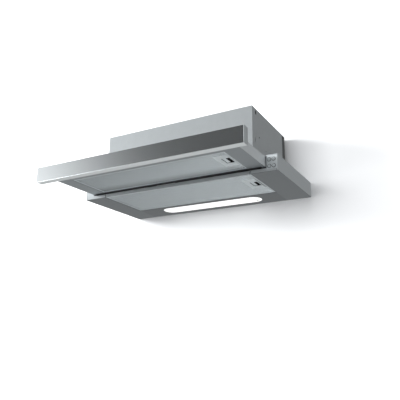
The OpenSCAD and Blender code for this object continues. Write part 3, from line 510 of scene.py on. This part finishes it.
def expanded_metal(bm, low, high, cell_x, cell_y, strand, z):
    """A sheet of expanded metal: diamonds left open between thin strands."""
    width, depth = high[0] - low[0], high[1] - low[1]
    columns, rows = round(width / cell_x), round(depth / cell_y)
    bmesh.ops.create_grid(bm, x_segments=columns, y_segments=rows, size=0.5)
    sides = [edge for edge in bm.edges if not edge.is_boundary]
    bmesh.ops.poke(bm, faces=bm.faces[:])
    bmesh.ops.dissolve_edges(bm, edges=sides, use_verts=False)
    middle = ((high[0] + low[0]) / 2, (high[1] + low[1]) / 2, z)
    laid = Matrix.Translation(middle) @ Matrix.Diagonal((width, depth, 1.0, 1.0))
    bmesh.ops.transform(bm, matrix=laid, verts=bm.verts[:])
    bmesh.ops.wireframe(
        bm, faces=bm.faces[:], thickness=strand, use_replace=True, use_boundary=True, use_even_offset=False
    )


def face_height(node):
    """Height up to which the underside of a node counts as its face."""
    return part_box(node)[0].z + FACE


def finish_node(node, material):
    """Gives a CAD node its material."""
    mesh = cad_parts[node].data
    mesh.materials.clear()
    mesh.materials.append(material)


def finish_nodes(nodes, material):
    """Gives several CAD nodes one material."""
    for node in nodes:
        finish_node(node, material)


# Operators


class HOOD_OT_sheet_metal(bpy.types.Operator):
    """Finish the painted casing, the frame, the drawer and the front panel"""

    bl_idname = "hood.sheet_metal"
    bl_label = "Sheet metal"

    def execute(self, context):
        colours = context.scene.hood_colours
        finish_node("upper_casing", sheet_metal("silver_paint", colours.paint, roughness=0.37, metal=0.60))
        band_z, band_face = face_height("lamp_panel"), lighter(colours.face, 0.56)
        band = clad("lamp_band", colours.sheet, band_face, band_z, roughness=0.42)
        finish_node("lamp_panel", band)
        frame_nodes = ["frame_pan", "front_crossbar", "rail_brackets", "motor_spider"]
        zinc_coat = sheet_metal("galvanised_sheet", colours.sheet, roughness=0.48, metal=0.6, mottle=0.10)
        finish_nodes(frame_nodes, zinc_coat)
        # Painted shade near the wall darkens the rear cover's colour beyond its dull sheet
        cover = sheet_metal("rear_cover", colours.cover, roughness=0.48, metal=0.6, mottle=0.10)
        finish_node("rear_casing", cover)

        side, face_z = lighter(colours.sheet, 1.25), face_height("drawer_pan")
        walls = clad("drawer_sheet", side, colours.face, face_z, roughness=0.42)
        finish_nodes(["drawer_front_wall", "drawer_sides", "drawer_cover"], walls)
        # Painted shade: a dark strip on the drawer's floor just behind the front filter's rim, for the gap
        # there
        gap_shade_offset = 0.001
        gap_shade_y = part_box("front_filter_rim")[1].y + gap_shade_offset
        gap_shade = lighter(colours.black, 0.6)
        floor = clad("drawer_floor", side, colours.face, face_z, roughness=0.42, gap_shade_y=gap_shade_y, gap_shade=gap_shade)
        finish_node("drawer_pan", floor)

        # The front panel's lip gets a painted highlight, 1.4 times as light as the steel
        lip_z, lip_highlight = face_height("front_panel"), lighter(colours.steel, 1.4)
        steel = brushed_steel(
            "brushed_steel", colours.steel, grain=1500.0, roughness=0.24, lip_z=lip_z, lip_highlight=lip_highlight
        )
        finish_node("front_panel", steel)
        motor = sheet_metal("motor_steel", lighter(colours.sheet, 0.9), roughness=0.5, metal=0.7, mottle=0.12)
        finish_node("motor", motor)
        return {"FINISHED"}


class HOOD_OT_casing_clips(bpy.types.Operator):
    """Set a dark spring clip in the upper slot of each side of the casing"""

    bl_idname = "hood.casing_clips"
    bl_label = "Casing clips"

    def execute(self, context):
        low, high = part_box("upper_casing")
        # Middle of the slot behind the casing's front and below its top, then the clip's own sizes
        slot_back, slot_down = 0.0227, 0.011
        thick, deep, tall = 0.0018, 0.0050, 0.0094
        edge_round, rim, dish = 0.0003, 0.0008, 0.0004

        def clips(bm):
            size = Matrix.Diagonal((thick, deep, tall, 1.0))
            for x in (low.x, high.x):
                middle = Matrix.Translation((x, low.y + slot_back, high.z - slot_down))
                bmesh.ops.create_cube(bm, size=1.0, matrix=middle @ size)
            bmesh.ops.bevel(
                bm, geom=bm.edges[:], offset=edge_round, segments=2, profile=0.5, material=-1, affect="EDGES"
            )
            bm.normal_update()
            outer = [
                face for face in bm.faces
                if abs(face.normal.x) > 0.99 and abs(face.calc_center_median().x) > high.x
            ]
            bmesh.ops.inset_individual(bm, faces=outer, thickness=rim, depth=-dish)

        black = moulded_plastic("clip_black", context.scene.hood_colours.black, roughness=0.42)
        new_piece("casing_clips", clips, black, "hood")
        return {"FINISHED"}


class HOOD_OT_mouldings(bpy.types.Operator):
    """Finish the moulded plastic, the rubber and the boards"""

    bl_idname = "hood.mouldings"
    bl_label = "Mouldings"

    def execute(self, context):
        colours = context.scene.hood_colours
        silver = moulded_plastic("silver_moulding", colours.moulding, roughness=0.42, metal=0.3)
        finish_node("panel_end_caps", silver)
        box_z, box_face = face_height("left_end_box"), lighter(colours.face, 0.67)
        boxes = clad("end_box_moulding", colours.moulding, box_face, box_z, roughness=0.42)
        finish_nodes(["left_end_box", "right_end_box"], boxes)
        black_nodes = ["volute_left", "volute_right", "duct_collar", "duct_flap_front", "duct_flap_rear",
                       "terminal_box", "led_driver", "microswitch"]
        finish_nodes(black_nodes, moulded_plastic("black_moulding", colours.black, roughness=0.48))
        white = moulded_plastic("white_moulding", colours.white, roughness=0.4)
        finish_nodes(["lamp_housing", "capacitor"], white)
        grey = moulded_plastic("wheel_moulding", colours.wheel, roughness=0.5)
        finish_nodes(["wheel_disc", "left_blade_ring", "right_blade_ring"], grey)
        finish_node("led_board", board("white_board", colours.light_board))
        finish_node("keypad_board", board("green_board", colours.keypad_board))
        finish_nodes(["cable_gland", "drawer_bumpers"], rubber("black_rubber", colours.rubber))
        return {"FINISHED"}


class HOOD_OT_slides(bpy.types.Operator):
    """Finish the rails, cages, screws, shaft and lever"""

    bl_idname = "hood.slides"
    bl_label = "Slides and fixings"

    def execute(self, context):
        zinc = context.scene.hood_colours.zinc
        rails = ["outer_rails", "mid_rails", "inner_rails", "outer_ball_cages", "inner_ball_cages"]
        finish_nodes(rails, sheet_metal("zinc_rail", zinc, roughness=0.34, metal=0.9, mottle=0.05))
        fixings = ["casing_screws", "blower_screws", "panel_screws", "tab_rivets"]
        bright = sheet_metal("zinc_screw", lighter(zinc, 1.08), roughness=0.28, metal=1.0, mottle=0.04)
        finish_nodes([*fixings, "motor_shaft", "switch_lever"], bright)
        return {"FINISHED"}


class HOOD_OT_filters(bpy.types.Operator):
    """Lay expanded metal in both filter rims and finish the rims and pads"""

    bl_idname = "hood.filters"
    bl_label = "Filters"

    def execute(self, context):
        colours, sizes = context.scene.hood_colours, context.scene.hood_sizes
        pale = lighter(colours.filter, 1.5)
        rims = sheet_metal("filter_rim", pale, roughness=0.34, metal=0.85, mottle=0.04)
        finish_nodes(["front_filter_rim", "rear_filter_rim"], rims)
        # Gap between mesh and rim, height of the pad above the rim's face, and lap of the latch over the mesh
        rim_gap, pad_height, latch_lap = 0.0022, 0.0011, 0.001
        for side in ("front", "rear"):
            low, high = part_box(f"{side}_filter_mesh")
            # The front filter gets painted shade towards its rear edge, by the gap there; the rear filter
            # gets none
            edge = high.y if side == "front" else None
            finish_node(f"{side}_filter_mesh", filter_pad(f"{side}_filter_pad", colours.filter, edge))
            plate_low, plate_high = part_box(f"{side}_latch_plate")
            middle = (plate_low + plate_high) / 2
            reach = (plate_high - plate_low) / 2 - Vector((latch_lap, latch_lap, 0.0))

            def behind_latch(face):
                away = face.calc_center_median() - middle
                return abs(away.x) < reach.x and abs(away.y) < reach.y

            def sheet(bm):
                expanded_metal(
                    bm, (low.x + rim_gap, low.y + rim_gap), (high.x - rim_gap, high.y - rim_gap),
                    sizes.cell_x, sizes.cell_y, sizes.strand, low.z - pad_height + sizes.mesh_height,
                )
                hidden = [face for face in bm.faces if behind_latch(face)]
                bmesh.ops.delete(bm, geom=hidden, context="FACES")

            bright = lighter(colours.filter, 1.15)
            strands = sheet_metal(f"{side}_filter_strands", bright, roughness=0.36, metal=0.85, edge=edge)
            new_piece(f"{side}_filter_expanded_metal", sheet, strands, f"{side}_filter")
        return {"FINISHED"}


class HOOD_OT_latches(bpy.types.Operator):
    """Finish the latches: silver faces over pockets painted black as shade"""

    bl_idname = "hood.latches"
    bl_label = "Latches"

    def execute(self, context):
        colours = context.scene.hood_colours
        # Black of the painted shade inside the pockets, darker than the black plastic
        silver, black = colours.latch, lighter(colours.black, 0.5)
        # Thickness of the plate's silver face
        plate_face = 0.0009
        for side in ("front", "rear"):
            plate_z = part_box(f"{side}_latch_plate")[0].z + plate_face
            finish_node(f"{side}_latch_plate", latch_plastic(f"{side}_latch_face", silver, black, plate_z))
            # The grip's sides above its face get the same painted shade
            grip_z = face_height(f"{side}_latch_bolt")
            grip = latch_plastic(f"{side}_latch_grip", lighter(silver, 1.15), black, grip_z)
            finish_node(f"{side}_latch_bolt", grip)
        return {"FINISHED"}


class HOOD_OT_lamp(bpy.types.Operator):
    """Light the diffuser and fix it with its screw"""

    bl_idname = "hood.lamp"
    bl_label = "Lamp"

    def execute(self, context):
        colours = context.scene.hood_colours
        low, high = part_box("lamp_lens")
        # Place of the hole from the diffuser's right end and behind its middle, then the screw's own sizes
        hole_in, hole_back = 0.022, 0.012
        x, y = high.x - hole_in, (low.y + high.y) / 2 + hole_back
        glow = context.scene.hood_stage.glow
        opal = opal_glow("opal_diffuser", colours.diffuser, glow, screw=(x, y), screw_shade_radius=0.0042)
        finish_node("lamp_lens", opal)
        radius, depth, height = 0.00145, 0.0022, 0.0013
        rim, dish = 0.00035, 0.00025

        def screw(bm):
            bmesh.ops.create_cone(
                bm, cap_ends=True, segments=32, radius1=radius, radius2=radius, depth=depth,
                matrix=Matrix.Translation((x, y, height)),
            )
            head = [face for face in bm.faces if face.normal.z < -0.9]
            bmesh.ops.inset_region(bm, faces=head, thickness=rim, depth=-dish)

        dark = lighter(colours.zinc, 0.3)
        zinc = sheet_metal("lens_screw_zinc", dark, roughness=0.35, metal=1.0, mottle=0.04)
        new_piece("lens_screw", screw, zinc, "hood")
        return {"FINISHED"}


class HOOD_OT_keypad(bpy.types.Operator):
    """Finish the keypad and its buttons"""

    bl_idname = "hood.keypad"
    bl_label = "Keypad"

    def execute(self, context):
        colours = context.scene.hood_colours
        buttons = ["light_button", "low_button", "medium_button", "high_button"]
        middles = []
        for button in buttons:
            low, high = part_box(button)
            middles.append(((low.x + high.x) / 2, (low.z + high.z) / 2))
        # Inner and outer radius of the printed rings
        inner, outer = 0.0036, 0.0051
        plate, pale = lighter(colours.moulding, 1.35), lighter(colours.moulding, 1.3)
        finish_node("keypad_plate", keypad_face("keypad_face", plate, colours.black, middles, inner, outer))
        silver = moulded_plastic(
            "button_silver", pale, roughness=0.3, metal=0.3, grit_height=0.00001, coat=0.2
        )
        finish_nodes(buttons, silver)
        return {"FINISHED"}


# World, wall and lights


def studio_light(world, rear_level):
    """World light: a dim room, bright on the left and lower on the right and above, with a white view."""
    shader = Shader(world)
    way = shader.place("Generated")
    # Brightness of each side, where 1 is white. The left fades upwards, and the rear is brighter low down
    left = (-way.x).above(0.68, 0.12) * (2.7 - way.z * 3.2).maths("MAXIMUM", 0.0)
    right = way.x.above(0.70, 0.12) * 1.1
    up = way.z.above(0.70, 0.12) * 0.8
    rear = way.y.above(0.0, 0.04)
    low = (-way.z).above(0.05, 0.25)
    dim = 0.09
    room = (left + right + dim) * (1 - rear) + rear * rear_level * (1 + low) + up
    seen = shader.seen()
    white = {"Color": (1.0, 1.0, 1.0), "Strength": room * (1 - seen) + seen}
    sky = shader.add("ShaderNodeBackground", None, white)
    shader.add("ShaderNodeOutputWorld", None, {"Surface": sky.outputs[0]})


def wall_white(name, colour):
    """Matt white that shows shadows. Only a view from the front shows it, so that it keeps no light out."""
    material, shader = new_material(name)
    back = Value(shader, shader.add("ShaderNodeNewGeometry").outputs["Backfacing"])
    matt = shader.add("ShaderNodeBsdfDiffuse", None, {"Color": colour})
    clear = shader.add("ShaderNodeBsdfTransparent")
    shown = shader.seen() * (1 - back)
    sides = shader.add("ShaderNodeMixShader", None, {0: shown, 1: clear.outputs[0], 2: matt.outputs[0]})
    shader.add("ShaderNodeOutputMaterial", None, {"Surface": sides.outputs[0]})
    return material


def soft_light(name, power, turn, tilt, width, stage):
    """A soft lamp that faces the hood. Turn and tilt give its direction, seen from the hood's front."""
    lamp = bpy.data.lights.new(name, "AREA")
    lamp.shape = "RECTANGLE"
    lamp.size, lamp.size_y = width, stage.light_height
    lamp.energy = power
    light = bpy.data.objects.new(name, lamp)
    way = Vector((math.sin(turn) * math.cos(tilt), -math.cos(turn) * math.cos(tilt), math.sin(tilt)))
    light.location = Vector(stage.aim) + way * stage.light_distance
    light.rotation_euler = way.to_track_quat("Z", "Y").to_euler()
    light.visible_glossy = False
    light.visible_camera = False
    bpy.context.scene.collection.objects.link(light)


class HOOD_OT_stage(bpy.types.Operator):
    """Make the world, the wall, the lights and the camera"""

    bl_idname = "hood.stage"
    bl_label = "Stage"

    def execute(self, context):
        scene = context.scene
        stage = scene.hood_stage
        scene.view_settings.view_transform = "Standard"
        scene.world = bpy.data.worlds.new("studio")
        studio_light(scene.world, stage.rear_level)

        # Gap between hood and wall, height of the wall's middle, and its reach from there to each side
        wall_gap, wall_middle, wall_reach = 0.0006, 1.0, 5.0

        def upright(bm):
            place = Matrix.Translation((0.0, wall_gap, wall_middle)) @ Matrix.Rotation(math.pi / 2, 4, "X")
            bmesh.ops.create_grid(bm, x_segments=1, y_segments=1, size=wall_reach, matrix=place)

        new_object("wall", upright, wall_white("wall_white", stage.wall))

        for name in ("side", "front", "fill"):
            power, turn, tilt, width = (
                getattr(stage, f"{name}_{value}") for value in ("power", "turn", "tilt", "width")
            )
            soft_light(f"{name}_light", power, turn, tilt, width, stage)

        optics = bpy.data.cameras.new("camera")
        optics.sensor_width = 36.0
        optics.lens = stage.lens
        optics.clip_start = 0.01
        optics.clip_end = 50.0
        camera = bpy.data.objects.new("camera", optics)
        aimed = (
            Matrix.Rotation(stage.azimuth, 4, "Z")
            @ Matrix.Rotation(math.pi / 2 + stage.elevation, 4, "X")
            @ Matrix.Rotation(stage.roll, 4, "Z")
        )
        camera.matrix_world = Matrix.Translation(stage.place) @ aimed
        scene.collection.objects.link(camera)
        scene.camera = camera
        return {"FINISHED"}


# Panel and registration


class HOOD_PT_panel(bpy.types.Panel):
    """The hood's sizes, colours and steps"""

    bl_label = "Range Hood"
    bl_space_type = "VIEW_3D"
    bl_region_type = "UI"
    bl_category = "Range Hood"

    def draw(self, context):
        layout = self.layout
        for group in (context.scene.hood_colours, context.scene.hood_sizes, context.scene.hood_stage):
            box = layout.box()
            for name in group.bl_rna.properties.keys():
                if name not in ("rna_type", "name"):
                    box.prop(group, name)
        for step in STEPS:
            layout.operator(step.bl_idname)


STEPS = (
    HOOD_OT_stage,
    HOOD_OT_sheet_metal,
    HOOD_OT_casing_clips,
    HOOD_OT_mouldings,
    HOOD_OT_slides,
    HOOD_OT_filters,
    HOOD_OT_latches,
    HOOD_OT_lamp,
    HOOD_OT_keypad,
)
CLASSES = (HoodColours, HoodSizes, HoodStage, *STEPS, HOOD_PT_panel)


def register():
    """Adds the classes and the hood's settings to Blender."""
    for item in CLASSES:
        bpy.utils.register_class(item)
    bpy.types.Scene.hood_colours = PointerProperty(type=HoodColours)
    bpy.types.Scene.hood_sizes = PointerProperty(type=HoodSizes)
    bpy.types.Scene.hood_stage = PointerProperty(type=HoodStage)


def unregister():
    """Takes the settings and the classes out again."""
    del bpy.types.Scene.hood_stage
    del bpy.types.Scene.hood_sizes
    del bpy.types.Scene.hood_colours
    for item in reversed(CLASSES):
        bpy.utils.unregister_class(item)


def main():
    """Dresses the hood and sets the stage."""
    register()
    for step in STEPS:
        group, name = step.bl_idname.split(".")
        getattr(getattr(bpy.ops, group), name)()


if __name__ == "__main__":
    main()
